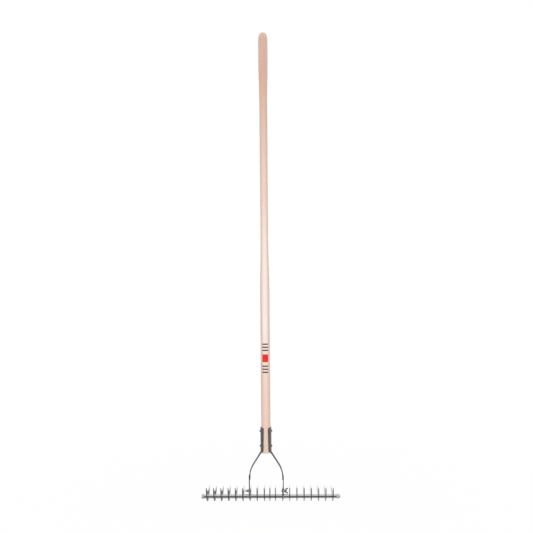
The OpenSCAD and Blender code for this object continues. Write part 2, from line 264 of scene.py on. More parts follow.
# %% Effect groups
def effect(build, inputs):
    """A node group with a Place, other inputs, and one Value output, which build returns."""
    group = bpy.data.node_groups.new(build.__name__, "ShaderNodeTree")
    for label, default in {"Place": (0.0, 0.0, 0.0), **inputs}.items():
        kind = "NodeSocketVector" if isinstance(default, tuple) else "NodeSocketFloat"
        socket = group.interface.new_socket(name=label, in_out="INPUT", socket_type=kind)
        socket.default_value = default
    group.interface.new_socket(name="Value", in_out="OUTPUT", socket_type="NodeSocketFloat")
    start = group.nodes.new("NodeGroupInput")
    end = group.nodes.new("NodeGroupOutput")
    group.links.new(build(start.outputs), end.inputs["Value"])
    return group


def noise(place, scale, detail):
    """Noise with cells of one size in every direction."""
    return fed("TexNoise", {"Vector": place, "Scale": scale, "Detail": detail}).outputs["Fac"]


def stretched_noise(place, stretch, detail=4.0):
    """Noise whose cells are as long as the stretch is small, along each axis."""
    spot = stretched(place, stretch)
    inputs = {"Vector": spot, "Scale": 1.0, "Detail": detail, "Roughness": 0.55}
    return fed("TexNoise", inputs).outputs["Fac"]


def streaks(given):
    """Long thin bands: stretched noise with its middle range spread out."""
    return graded(stretched_noise(given["Place"], given["Stretch"]), 0.30, 0.70)


def clouds(given):
    """Soft patches: even noise with its middle range spread out."""
    return graded(noise(given["Place"], given["Scale"], 3.0), 0.32, 0.68)


def scuffs(given):
    """Fine crossing scratches: the rare peaks of two noises, drawn out in two directions and
    bent by a slow swirl."""
    swirl = fed("TexNoise", {"Vector": given["Place"], "Scale": 14.0, "Detail": 1.0})
    bent = stretched(swirl.outputs["Color"], (0.02, 0.02, 0.02))
    place = fed("VectorMath", {0: given["Place"], 1: bent}, operation="ADD").outputs[0]
    one = stretched_noise(place, (1900.0, 160.0, 1300.0), 2.0)
    two = stretched_noise(place, (240.0, 1700.0, 1500.0), 2.0)
    lines = maths("MAXIMUM", graded(one, 0.66, 0.74), graded(two, 0.68, 0.76))
    return times(lines, given["Amount"])


def worn_edges(given):
    """Wear with a ragged border: the edge attribute plus noise, cut off at a level."""
    reach = plus(given["Edge"], times(noise(given["Place"], 260.0, 5.0), 0.9))
    return times(graded(reach, 1.18, 1.42), given["Amount"])


effects = {
    "streaks": effect(streaks, {"Stretch": (1.0, 1.0, 1.0)}),
    "clouds": effect(clouds, {"Scale": 30.0}),
    "scuffs": effect(scuffs, {"Amount": 1.0}),
    "worn_edges": effect(worn_edges, {"Edge": 0.0, "Amount": 1.0}),
}
print("effects:", ", ".join(effects))

# %% Material helpers
def surface(name, **fixed):
    """A new material, its shader, and the place on the piece in metres. fixed sets plain
    shader inputs."""
    material = bpy.data.materials.new(name)
    material.use_nodes = True
    shader = material.node_tree.nodes["Principled BSDF"]
    for label, value in fixed.items():
        shader.inputs[label.replace("_", " ")].default_value = value
    return material, shader, put(material.node_tree, "TexCoord").outputs["Object"]


def use(name, **inputs):
    """Places an effect group in a material and returns its Value."""
    return fed("Group", inputs, node_tree=effects[name]).outputs["Value"]


def edge_value(shader):
    """The value that a piece stores for its edges."""
    return put(shader.id_data, "Attribute", attribute_name="edge").outputs["Fac"]


def dress(shader, height, depth, **feeds):
    """Joins colours and numbers to the shader, and a height through a bump of a depth in metres."""
    feeds["Normal"] = fed("Bump", {"Strength": 1.0, "Distance": depth, "Height": height}).outputs[0]
    for label, socket in feeds.items():
        shader.id_data.links.new(socket, shader.inputs[label.replace("_", " ")])


print("a material is a graph, a shader and a place")

# %% [markdown]
# ## Ash wood
# The handle is turned from a straight-grained blank, so its grain is the tree's rings cut
# lengthwise. A plain stripe texture would look printed. Here the rings are real: the
# distance to a pith line that passes beside the handle at a slight slant, divided by the
# ring width. Where the lathe cuts a ring at a low angle, long pointed figures appear by
# themselves. Pores and fibres are streaks along the handle. The colour is warmer at the
# top, and it holds painted light: a pale band below the middle, on the face turned to the
# viewer, is a painted highlight, and the lower end is painted lighter. Clear lacquer covers it.

# %% Ash wood
PITH_AT, PITH_SLANT, RINGS_PER_METRE = (0.034, 0.021, 0.0), (0.013, -0.019, 0.0), 330.0
BLANK_FROM, BLANK_TO = 0.142, 1.508
# Painted light in these stops: the pale 0.30 to 0.50 band is a painted highlight, the lowest stops are
# painted lighter.
tone_and_highlight_stops = (
    (0.00, (233, 201, 186)),
    (0.16, (237, 209, 196)),
    (0.30, (241, 233, 225)),
    (0.50, (236, 225, 217)),
    (0.62, (229, 203, 189)),
    (0.85, (211, 173, 153)),
    (1.00, (203, 160, 141)),
)
ash_wood, shader, place = surface("ash_wood", Coat_Weight=0.22, Coat_Roughness=0.24, IOR=1.48)
slant = fed("Mapping", {"Vector": place, "Location": PITH_AT, "Rotation": PITH_SLANT}).outputs[0]
to_pith = length(stretched(slant, (1.0, 1.0, 0.0)))
sway = stretched_noise(place, (28.0, 28.0, 2.6), 2.0)
rings = plus(times(to_pith, RINGS_PER_METRE), times(sway, 2.4))
year = maths("FRACT", rings)
early = times(graded(year, 0.0, 0.10), graded(year, 0.55, 0.18))
fibre = use("streaks", Place=place, Stretch=(900.0, 900.0, 9.0))
pores = graded(stretched_noise(place, (2600.0, 2600.0, 95.0), 2.0), 0.60, 0.72)
pores = times(pores, plus(times(early, 0.8), 0.12))
pale = use("clouds", Place=stretched(place, (1.0, 1.0, 0.12)), Scale=26.0)
along = fed("SeparateXYZ", {0: place}).outputs["Z"]
stops = [(position, tone(*colour)) for position, colour in tone_and_highlight_stops]
face_on_tone_and_highlight = ramped(graded(along, BLANK_FROM, BLANK_TO, how="LINEAR"), stops)
# Painted highlight: the face turned to the viewer takes the ramp, the sides a plain tone.
facing = put(shader.id_data, "LayerWeight", {"Blend": 0.5}).outputs["Facing"]
side = mixed(graded(along, 0.8, 1.3), tone(229, 197, 181), tone(214, 176, 159))
wood = layered(
    mixed(graded(facing, 0.05, 0.30), face_on_tone_and_highlight, side),
    (early, 0.20, (200, 154, 128)),
    (fibre, 0.10, (208, 164, 138)),
    (pale, 0.12, (246, 226, 210)),
    (pores, 0.5, (150, 106, 80)),
)
gloss = graded(fibre, 0.0, 1.0, 0.40, 0.54)
relief = maths("SUBTRACT", times(fibre, 0.5), pores)
dress(shader, relief, 0.00006, Base_Color=wood, Roughness=gloss)
print(f"ash wood with rings about {1000 / RINGS_PER_METRE:.0f} mm wide")

# %% [markdown]
# ## Arm paint
# The arms are mild steel in a thin dark grey enamel. It is not quite even: it pulls into
# a fine orange peel, it is a little thinner in patches, and it rubs off along the edges,
# where bare steel shows. The half sockets are painted paler than the straps, a painted
# reflection of the bright room beside them, and are darker along their rims. The clamp
# plates round the rod are bare, because the washers slide on them, and have gone dull. One
# mask drives colour, metal and gloss together, so bare steel also shines a little.

# %% Arm paint and rivet finish
BARE_BELOW, BARE_BORDER = 0.025, 0.0012
SOCKET_FROM, SOCKET_ALL = 0.144, 0.152


def enamel(name, colour, socket_colour_painted_lighter, worn, peel):
    """Grey enamel over steel, painted paler up at the sockets as a painted reflection, with a
    share of worn edges and an orange peel of a given depth."""
    material, shader, place = surface(name, IOR=1.5)
    edge = edge_value(shader)
    thin = use("clouds", Place=place, Scale=55.0)
    marks = use("scuffs", Place=place, Amount=0.35)
    up = fed("SeparateXYZ", {0: place}).outputs["Z"]
    ragged = plus(up, times(noise(place, 220.0, 3.0), 0.003))
    plate = graded(ragged, BARE_BELOW + BARE_BORDER, BARE_BELOW - BARE_BORDER)
    bare = maths("MAXIMUM", use("worn_edges", Place=place, Edge=edge, Amount=worn), plate)
    on_socket = graded(up, SOCKET_FROM, SOCKET_ALL)
    paint = layered(
        # Painted reflection: the half sockets are painted paler than the straps below.
        mixed(on_socket, tone(*colour), tone(*socket_colour_painted_lighter)),
        (thin, 0.30, [c + 16 for c in socket_colour_painted_lighter]),
        (marks, 1.0, [c + 24 for c in socket_colour_painted_lighter]),
        # Darker along the rims of the half sockets.
        (times(edge, on_socket), 0.8, (44, 38, 36)),
        (bare, 1.0, (196, 195, 202)),
    )
    rough = plus(graded(thin, 0.0, 1.0, 0.26, 0.36), times(marks, 0.2))
    rough = plus(rough, times(bare, 0.2))
    height = maths("SUBTRACT", noise(place, 620.0, 2.0), times(bare, 0.8))
    dress(shader, height, peel, Base_Color=paint, Metallic=times(bare, 0.35), Roughness=rough)
    return material


# The second colour is the sockets', painted paler as a painted reflection.
arm_paint = enamel("arm_paint", (52, 51, 52), (86, 85, 87), 0.05, 0.00006)
rivet_finish = enamel("rivet_finish", (78, 78, 80), (84, 84, 87), 0.4, 0.00012)
print("enamel on", arm_paint.name, "and", rivet_finish.name)

# %% [markdown]
# ## Plated steel
# Tines, spacers, rod, bolts and nuts are all steel under zinc, but each was worked in its
# own way. Tines were stamped from rolled sheet, so their faces have long streaks and their
# sheared edges are dark. Spacer tubes were drawn and cut, with fine lines round them. Wing
# nuts are cast and dull. One function makes them all from a tone, a gloss and the
# direction of the lines, because only these numbers differ.

# %% Plated steel
SHEARED_ALL, SHEARED_TO = 0.030, 0.048


def plated(name, colour, edge_colour, gloss, lines, grain, sheared=0.0):
    """Zinc-plated steel: tone, tone on edges, roughness, stretch of its lines, depth of its
    grain, and share of sheared edge near the rod."""
    material, shader, place = surface(name, Metallic=1.0)
    edge = edge_value(shader)
    drawn = use("streaks", Place=place, Stretch=lines)
    dull = use("clouds", Place=place, Scale=85.0)
    burr = use("worn_edges", Place=place, Edge=edge, Amount=0.8)
    marks = use("scuffs", Place=place, Amount=0.5)
    from_rod = length(stretched(place, (0.0, 1.0, 1.0)))
    dark_edge = times(edge, graded(from_rod, SHEARED_TO, SHEARED_ALL, 0.0, sheared))
    steel = layered(
        tone(*colour),
        (dull, 0.30, [int(c * 0.90) for c in colour]),
        (drawn, 0.18, [int(c * 0.84) for c in colour]),
        (burr, 1.0, edge_colour),
        (dark_edge, 1.0, (162, 162, 165)),
    )
    rough = plus(graded(dull, 0.0, 1.0, gloss, gloss + 0.06), times(drawn, 0.05))
    rough = plus(rough, times(marks, 0.12))
    dress(shader, maths("SUBTRACT", drawn, marks), grain, Base_Color=steel, Roughness=rough)
    return material


tine_steel = plated("tine_steel", (210, 210, 213), (224, 224, 226), 0.24, (600.0, 14.0, 600.0), 0.00002, 0.9)
spacer_zinc = plated("spacer_zinc", (208, 208, 210), (214, 214, 216), 0.15, (1500.0, 30.0, 30.0), 0.00001)
bolt_zinc = plated("bolt_zinc", (206, 206, 210), (216, 216, 220), 0.24, (700.0, 60.0, 60.0), 0.00002)
rod_zinc = plated("rod_zinc", (208, 208, 211), (214, 214, 217), 0.22, (700.0, 60.0, 60.0), 0.00002)
cast_lines = (380.0, 380.0, 380.0)
wing_nut_zinc = plated("wing_nut_zinc", (184, 182, 194), (206, 205, 212), 0.36, cast_lines, 0.00006)
print("plated:", ", ".join(m.name for m in (tine_steel, spacer_zinc, bolt_zinc, rod_zinc, wing_nut_zinc)))

# %% [markdown]
# ## From arrays to pieces
# Every new piece is one or more closed skins. A skin is an array of points in millimetres,
# blocks of faces that index it, and an edge value per point. Points come from a grid, so
# the faces follow from counting rows and columns. The enclosed volume tells whether a skin
# came out inside out, and then all its faces are turned round. A piece takes its place
# from its points alone, so its object stays at the origin.

# %% Skins and pieces
MM = 0.001
joined = np.concatenate
SMOOTH, FLAT = math.radians(32), math.radians(12)


def grid_faces(rows, columns, wrap_rows=False):
    """Corners of the squares between neighbouring grid points. Columns, and rows if wrapped,
    join their last line to their first."""
    r = np.arange(rows if wrap_rows else rows - 1)
    r, c = np.meshgrid(r, np.arange(columns), indexing="ij")
    below, beside = (r + 1) % rows, (c + 1) % columns
    square = [r * columns + c, r * columns + beside, below * columns + beside, below * columns + c]
    return np.stack(square, -1).reshape(-1, 4)


def capped(rows, columns, *caps):
    """Faces of a grid, with the faces of every cap on its first row and on its last one."""
    blocks = [grid_faces(rows, columns)]
    for cap in caps:
        blocks += [cap[:, ::-1], cap + (rows - 1) * columns]
    return blocks


def volume(points, blocks):
    """A sixth of the sum of the triple products of every face's fan of triangles."""
    total = 0.0
    for block in blocks:
        for k in range(1, block.shape[1] - 1):
            a, b, c = points[block[:, 0]], points[block[:, k]], points[block[:, k + 1]]
            total += np.einsum("ij,ij", a, np.cross(b, c)) / 6
    return total


def piece(name, skins, material, body, node, crease=SMOOTH):
    """Joins skins into one mesh that rides on a body and stands for a CAD node, if one is
    named. Steeper bends than the crease stay sharp."""
    points, faces, edges, start = [], [], [], 0
    for skin_points, blocks, edge in skins:
        turn = -1 if volume(skin_points, blocks) < 0 else 1
        faces += [row for block in blocks for row in (block[:, ::turn] + start).tolist()]
        points.append(skin_points)
        edges.append(edge)
        start += len(skin_points)
    mesh = bpy.data.meshes.new(name)
    mesh.from_pydata((joined(points) * MM).tolist(), [], faces)
    edges = joined(edges).astype(np.float32)
    mesh.attributes.new("edge", "FLOAT", "POINT").data.foreach_set("value", edges)
    mesh.shade_smooth()
    mesh.set_sharp_from_angle(angle=crease)
    mesh.materials.append(material)
    made = bpy.data.objects.new(name, mesh)
    scene.collection.objects.link(made)
    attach(made, body)
    if node:
        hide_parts(node)


def pair(name, finish, right, left, material, body=None):
    """A piece on the right and one on the left, on the body given or each on its own."""
    for side, skins in (("right", right), ("left", left)):
        node = f"{side}_{name}"
        piece(f"{node}_{finish}", skins, material, body or node, node)


print("a skin is points, blocks of faces and edges")

# %% [markdown]
# Most of the rake is round: handle, tubes, bolts, washers, rivets. A round skin is a
# profile carried once about an axis, so it is a grid of rings. The radius may change round
# the ring too, which gives hexagons and screw threads in the same way. A tube's profile is
# a loop and closes on itself; a solid's two ends are closed by fans to the axis. Real
# edges are never knife sharp, so the corners of a profile are rounded first.

# %% Turned skins
def turned(radius, height, edge, sides, tube=False):
    """Rings about the Z axis, of one radius per row or of one per row and side, at a height per
    row. A tube's last ring joins its first; a solid gets two poles."""
    rows = len(radius)
    angle = np.linspace(0, 2 * np.pi, sides, endpoint=False)
    height = np.broadcast_to(height, (rows, sides))
    points = np.stack([radius * np.cos(angle), radius * np.sin(angle), height], -1).reshape(-1, 3)
    blocks = [grid_faces(rows, sides, wrap_rows=tube)]
    edges = np.repeat(edge, sides)
    if not tube:
        k = np.arange(sides)
        after = (k + 1) % sides
        first = np.stack([np.full(sides, rows * sides), after, k], -1)
        last = np.stack([np.full(sides, rows * sides + 1), k, after], -1)
        last[:, 1:] += (rows - 1) * sides
        poles = [[0, 0, height[0].mean()], [0, 0, height[-1].mean()]]
        points = joined([points, poles])
        blocks += [first, last]
        edges = joined([edges, edge[[0, -1]]])
    return points, blocks, edges


def soft_corners(corners, radius, loop=False, steps=5, most=0.4, lead=1.2):
    """Each corner becomes a short parabola, set back by the radius or by the share most of its
    shorter side, between two points that lead in and out; returns points and edge values."""
    corners = np.asarray(corners, float)
    before = np.roll(corners, 1, 0) - corners
    after = np.roll(corners, -1, 0) - corners
    long_before = np.linalg.norm(before, axis=1, keepdims=True)
    long_after = np.linalg.norm(after, axis=1, keepdims=True)
    back = np.minimum(radius, most * np.minimum(long_before, long_after))
    before, after = before / long_before * back, after / long_after * back
    t = np.linspace(0, 1, steps)[:, None, None]
    bend = (1 - t) ** 2 * (corners + before) + 2 * t * (1 - t) * corners + t ** 2 * (corners + after)
    bend = joined([(corners + before * lead)[None], bend, (corners + after * lead)[None]])
    bend = bend.transpose(1, 0, 2)
    worn = np.sin(np.linspace(0, np.pi, steps))
    edge = np.tile(joined([[0], worn, [0]]), (len(corners), 1))
    if loop:
        return bend.reshape(-1, 2), edge.ravel()
    chain = joined([corners[:1], bend[1:-1].reshape(-1, 2), corners[-1:]])
    return chain, joined([[0], edge[1:-1].ravel(), [0]])


def moved(skin, x=0.0, z=0.0):
    """The same skin, moved along X and Z."""
    return skin[0] + [x, 0, z], skin[1], skin[2]


def along_x(skin, x):
    """Lays a skin that stands along Z down along X, from x on."""
    return moved((skin[0][:, [2, 0, 1]], skin[1], skin[2]), x)


def turned_about_z(skin, angle):
    """Turns a skin about the Z axis."""
    x, y, z = skin[0].T
    c, s = math.cos(angle), math.sin(angle)
    return np.stack([c * x - s * y, s * x + c * y, z], 1), skin[1], skin[2]


def mirrored(skin):
    """The same skin on the other side of the rake's middle plane."""
    return skin[0] * [-1, 1, 1], skin[1], skin[2]


REST_TILT = math.radians(14)


def tilted(skin, lift=0.0):
    """Raises a skin from the rod by lift, then tilts it about the rod, front tips up, as the
    head stands at rest."""
    x, y, z = (skin[0] + [0, 0, lift]).T
    c, s = math.cos(REST_TILT), math.sin(REST_TILT)
    return np.stack([x, c * y + s * z, c * z - s * y], 1), skin[1], skin[2]


print("rounding two corners gives", len(soft_corners([[0, 0], [5, 0], [5, 9], [0, 9]], 1)[0]), "points")

# %% [markdown]
# ## Handle
# The handle came off a lathe: a straight lower part, a long taper to a slim waist, a slow
# swell into the grip and a blunt dome. Each change of radius is half a cosine wave, which
# starts and ends along the handle, so no ridge shows. The dome's radius is the root of one
# less the fourth power of the height, which keeps its shoulder full and its end flat. A
# station is a height, the radius there and the number of rings up to the next one.

# %% Handle
HANDLE_Z, HANDLE_R, WAIST_R, NECK_R, GRIP_R = 142.0, 15.0, 12.4, 12.8, 15.1
CHAMFER, LOW_END, DOME_LENGTH = 1.2, 20.0, 39.0
stations = (
    (520.0, HANDLE_R, 32),
    (695.0, WAIST_R, 6),
    (815.0, WAIST_R, 16),
    (1134.0, NECK_R, 26),
    (1279.0, GRIP_R, 4),
    (1327.0, GRIP_R, 0),
)


def eased(here, there):
    """Half a cosine wave from one station's radius to the next one's."""
    (z0, r0, rings), (z1, r1, _) = here, there
    t = np.linspace(0, 1, rings, endpoint=False)
    return np.stack([r0 + (r1 - r0) * (1 - np.cos(np.pi * t)) / 2, z0 + (z1 - z0) * t], 1)


t = np.sin(np.linspace(0, np.pi / 2, 26))[:-1]
dome = np.stack([GRIP_R * np.sqrt(1 - t ** 4), stations[-1][0] + DOME_LENGTH * t], 1)
low_corners = [[0, 0], [HANDLE_R - CHAMFER, 0], [HANDLE_R, CHAMFER], [HANDLE_R, LOW_END]]
low_end, low_edge = soft_corners(low_corners, 0.8)
straight = np.stack([np.full(26, HANDLE_R), np.linspace(LOW_END, stations[0][0], 26)], 1)[1:-1]
runs = [eased(here, there) for here, there in zip(stations, stations[1:])]
profile = joined([low_end[1:], straight, *runs, dome])
edge = np.zeros(len(profile))
edge[: len(low_edge) - 1] = low_edge[1:]
handle = turned(profile[:, :1], profile[:, 1:] + HANDLE_Z, edge, 96)
piece("handle_turned", [handle], ash_wood, "handle_and_bow", "handle")
print(f"handle: {len(handle[0])} points, {len(profile)} rings")

# %% [markdown]
# ## Printed mark
# A plain printed mark stands on the lower front of the handle: a red block between two sets
# of three dark bars. A print is a film of ink that follows the wood, so it is a thin patch of
# a cylinder: height and angle are its two parameters, and an inner and an outer sheet close
# round the rim.

# %% Printed mark
MARK_Z, MARK_ANGLE, BLOCK_HALF, BAR_HALF, BAR_STEPS = 450.5, 38.0, 12.5, 2.0, (25.5, 35.5, 45.5)


def ink(name, colour):
    """Screen-printed ink: a little uneven, worn thin in specks, semi-gloss."""
    material, shader, place = surface(name, IOR=1.5)
    thin = use("clouds", Place=place, Scale=240.0)
    marks = use("scuffs", Place=place, Amount=0.25)
    worn = [min(255, c + 30) for c in colour]
    film = layered(tone(*colour), (thin, 0.18, worn), (marks, 1.0, (236, 208, 190)))
    gloss = graded(thin, 0.0, 1.0, 0.34, 0.46)
    dress(shader, thin, 0.00003, Base_Color=film, Roughness=gloss)
    return material


def film_patch(middle, half, low=0.02, high=0.08, rows=24, columns=24):
    """A patch of the handle's round facing -Y: rows climb by half to each side of the middle,
    columns go round, and the sheet wraps from its outer to its inner face."""
    z = np.linspace(middle - half, middle + half, rows)[:, None]
    angle = np.radians(-90 + np.linspace(-MARK_ANGLE, MARK_ANGLE, columns))
    ring = joined([angle, angle[::-1]])
    r = HANDLE_R + np.repeat([high, low], columns)
    points = np.stack(np.broadcast_arrays(r * np.cos(ring), r * np.sin(ring), z), -1).reshape(-1, 3)
    j = np.arange(columns - 1)
    end = np.stack([j, j + 1, 2 * columns - 2 - j, 2 * columns - 1 - j], -1)
    return points, capped(rows, 2 * columns, end), np.zeros(len(points))


red_ink, dark_ink = ink("red_ink", (222, 22, 32)), ink("dark_ink", (42, 40, 40))
bar_z = [MARK_Z + side * step for side in (-1, 1) for step in BAR_STEPS]
bars = [film_patch(z, BAR_HALF) for z in bar_z]
piece("mark_block", [film_patch(MARK_Z, BLOCK_HALF)], red_ink, "handle_and_bow", None)
piece("mark_bars", bars, dark_ink, "handle_and_bow", None)
print("mark from", min(bar_z) - BAR_HALF, "to", max(bar_z) + BAR_HALF, "mm above the rod")

# %% [markdown]
# ## Stamped plates
# Tines and the arms' feet are stamped from sheet: an outline, a few holes, and one
# thickness. A grid of points fits badly between an outline with sharp tips and a round
# hole, because its rows fold over near the tips. A flat curve that is filled between its
# outline and its holes has no such trouble. It also rounds the rim by itself. Its points
# are read back into an array, and points that fall together are joined.

# %% Stamped plates
def filled_plate(loops, thickness, soft, rim=0.02):
    """A flat curve with holes in (Y, Z), filled and given a thickness along X and a soft rim,
    as a skin about x = 0."""
    curve = bpy.data.curves.new("plate_curve", "CURVE")
    curve.dimensions, curve.fill_mode = "2D", "BOTH"
    curve.extrude, curve.bevel_depth, curve.bevel_resolution = thickness / 2 - soft, soft, 2
    curve.offset = -soft
    for loop in loops:
        spline = curve.splines.new("POLY")
        spline.points.add(len(loop) - 1)
        corners = np.column_stack([loop, np.zeros(len(loop)), np.ones(len(loop))])
        spline.points.foreach_set("co", corners.ravel())
        spline.use_cyclic_u = True
    holder = bpy.data.objects.new("plate_curve", curve)
    mesh = holder.to_mesh()
    points = np.zeros(len(mesh.vertices) * 3)
    mesh.vertices.foreach_get("co", points)
    faces = [list(p.vertices) for p in mesh.polygons]
    holder.to_mesh_clear()
    bpy.data.objects.remove(holder)
    bpy.data.curves.remove(curve)
    keep, index = np.unique(np.round(points.reshape(-1, 3), 4), axis=0, return_inverse=True)
    index = index.ravel()
    counts = sorted({len(f) for f in faces})
    blocks = [index[np.array([f for f in faces if len(f) == n])] for n in counts]
    edge = (np.abs(keep[:, 2]) < thickness / 2 - rim).astype(float)
    return keep[:, [2, 0, 1]], blocks, edge


print("a plate is an outline, its holes and a thickness")

# %% [markdown]
# ## Tines
# A tine is a half-moon of 2.3 mm sheet between two arcs that meet at its tips, with a hole
# for the rod. The two tines beside the arms carry a round tab with a square hole, which
# keeps the clamp bolt from turning. Only two plates are worked out, one plain and one with
# the tab; every tine is one of them, moved along the rod.

# %% Tine outline
BORE_R, CLAMP_LIFT, TAB_R, NECK_HALF = 4.04, 17.0, 7.0, 2.5
TIP_Y, BELLY_R, BELLY_DROP, INNER_R, INNER_RISE = 51.2, 52.54, 15.0, 103.57, 16.0


def arc(centre, radius, start, stop, count):
    """Points of an arc in (Y, Z), its angles in degrees clockwise from +Z."""
    a = np.radians(np.linspace(start, stop, count))
    return np.asarray(centre) + radius * np.stack([np.sin(a), np.cos(a)], 1)


def half_moon(tab):
    """The outline in (Y, Z) about the rod: the belly arc from tip to tip and the inner arc
    back, with or without the tab's bump."""
    belly_turn, inner_turn = (math.degrees(math.asin(TIP_Y / r)) for r in (BELLY_R, INNER_R))
    belly = arc([0, BELLY_R - BELLY_DROP], BELLY_R, 180 - belly_turn, 180 + belly_turn, 90)
    inner = arc([0, INNER_R + INNER_RISE], INNER_R, 180 + inner_turn, 180 - inner_turn, 70)
    if tab:
        bump = arc([0, CLAMP_LIFT], TAB_R, -83, 83, 24)
        beside = TAB_R - 0.1
        inner = joined([inner[inner[:, 0] < -beside], bump, inner[inner[:, 0] > beside]])
    return joined([belly, inner])


rod_hole = arc([0, 0], BORE_R, 180, 180 - 360 * 31 / 32, 32)
neck_hole = NECK_HALF * np.array([[-1, -1], [1, -1], [1, 1], [-1, 1]]) + [0, CLAMP_LIFT]
print("half-moon outline:", len(half_moon(False)), "points, with tab", len(half_moon(True)))

# %% Tines
INNER_TINE_X, PITCH, TINE_T, TINE_SOFT = 52.55, 23.1, 2.3, 0.35
tine_x = {i: -INNER_TINE_X + (i - 7) * PITCH for i in range(1, 10)}
tine_x.update({i: INNER_TINE_X + (i - 12) * PITCH for i in range(11, 20)})
tine_x[10] = (tine_x[9] + tine_x[11]) / 2
plain_plate = filled_plate([half_moon(False), rod_hole], TINE_T, TINE_SOFT)
tab_plate = filled_plate([half_moon(True), rod_hole, neck_hole], TINE_T, TINE_SOFT)
for i, x in sorted(tine_x.items()):
    skin = tilted(moved(tab_plate if i in (7, 12) else plain_plate, x))
    piece(f"tine_plate_{i:02d}", [skin], tine_steel, "head", f"tine_{i:02d}", FLAT)
print(f"{len(tine_x)} tines from {tine_x[1]:.1f} to {tine_x[19]:.1f} mm, {len(plain_plate[0])} points each")

# %% [markdown]
# ## Spacers
# The tubes between the tines set their distance and clamp them on the rod. Each is a short
# turned loop: bore, end, outside, end, with every corner softened. They don't tilt visibly,
# but they belong to the head and turn with it.

# %% Spacers
SPACER_R, SPACER_SOFT, ARM_OUTER, SIDE_PLAY = 6.35, 0.35, 56.6, 0.1
LEFT_END, RIGHT_END, END_SPACER = -203.8, 226.9, 11.5


def tube(x0, x1, outer, bore, soft, sides=64, taper=0.0):
    """A tube along X: a four-cornered loop of radius and height, its corners rounded, carried
    round the axis. Its far end is slimmer by the taper."""
    corners = [[bore, 0], [outer, 0], [outer - taper, x1 - x0], [bore, x1 - x0]]
    loop, edge = soft_corners(corners, soft, loop=True)
    return along_x(turned(loop[:, :1], loop[:, 1:], edge, sides, tube=True), x0)


spans = {f"spacer_{i:02d}": [tine_x[i] + TINE_T / 2, tine_x[i + 1] - TINE_T / 2] for i in range(1, 19)}
spans["spacer_06"][1] = -ARM_OUTER - SIDE_PLAY
spans["spacer_12"][0] = ARM_OUTER + SIDE_PLAY
spans["left_end_spacer"] = [LEFT_END, LEFT_END + END_SPACER]
spans["right_end_spacer"] = [RIGHT_END - END_SPACER, RIGHT_END]
for name, (x0, x1) in spans.items():
    skin = tilted(tube(x0, x1, SPACER_R, BORE_R, SPACER_SOFT))
    piece(f"{name}_tube", [skin], spacer_zinc, "head", name)
print(len(spans), "spacers; a middle one is", round(np.ptp(spans["spacer_09"]), 2), "mm long")

# %% [markdown]
# ## Rod and lock nut
# The rod is a long bolt: a hexagon head on the left, and a thread that shows past the lock
# nut on the right. A hexagon is a ring whose radius is the distance to a straight flat,
# and its chamfer is the smaller of that and a cone. The thread is a ring whose radius falls
# and rises once per turn and once per pitch, so the groove winds along by itself.

# %% Rod and lock nut
HEX_FLATS, HEX_SIDES, ROD_HEAD, ROD_R, ROD_LENGTH = 12.7, 96, 7.0, 3.97, 442.6
ROD_PITCH, ROD_THREAD_FROM, ROD_GROOVE = 1.41, 420.0, 0.45
NUT_HEX, COLLAR_R, COLLAR_Z, LIP_R, LIP_Z, BORE_FOOT = 9.0, 5.75, 10.5, 4.6, 10.1, 0.4


def six_sided(limit):
    """Rings of a hexagon, cut down to a round limit per ring where that is smaller."""
    angle = np.linspace(0, 2 * np.pi, HEX_SIDES, endpoint=False)
    flat = HEX_FLATS / 2 / np.cos(angle % (np.pi / 3) - np.pi / 6)
    return np.minimum(flat[None], np.asarray(limit, float)[:, None])


def hexagon_rings(height, chamfer=0.6):
    """Height, round limit and edge value of a hexagon's rings, with both rims chamfered."""
    corner = HEX_FLATS / 2 / math.cos(math.pi / 6)
    rise = np.linspace(0, chamfer, 4)
    z = joined([rise, height - rise[::-1]])
    limit = corner - chamfer + joined([rise, rise[::-1]])
    return z, limit, np.where(limit > corner - chamfer / 2, 0.7, 0.2)


def threaded(length, radius, pitch, thread_from, depth, taper=0.6, sides=48):
    """A shaft along Z whose radius dips once per pitch and winds once per turn from a given
    height, with a tapered end."""
    smooth = np.linspace(0, thread_from, 4)[:-1]
    z = joined([smooth, np.arange(thread_from, length - pitch / 16, pitch / 8), [length]])
    turn = np.linspace(0, 1, sides, endpoint=False)
    wave = np.abs(((z[:, None] / pitch - turn[None]) % 1) * 2 - 1)
    inside = np.clip((z - thread_from) / pitch, 0, 1)[:, None]
    end = np.clip((length - z) / taper, 0, 1)[:, None]
    r = radius - depth * inside * wave - taper * (1 - end)
    return turned(r, z[:, None], np.zeros(len(z)), sides)


z, limit, edge = hexagon_rings(ROD_HEAD)
rod_head = turned_about_z(turned(six_sided(limit), z[:, None], edge, HEX_SIDES), REST_TILT)
rod_shaft = threaded(ROD_LENGTH, ROD_R, ROD_PITCH, ROD_THREAD_FROM, ROD_GROOVE)
rod = [tilted(along_x(rod_head, LEFT_END - ROD_HEAD)), tilted(along_x(rod_shaft, LEFT_END))]
piece("tine_rod_bolt", rod, rod_zinc, "head", "tine_rod")

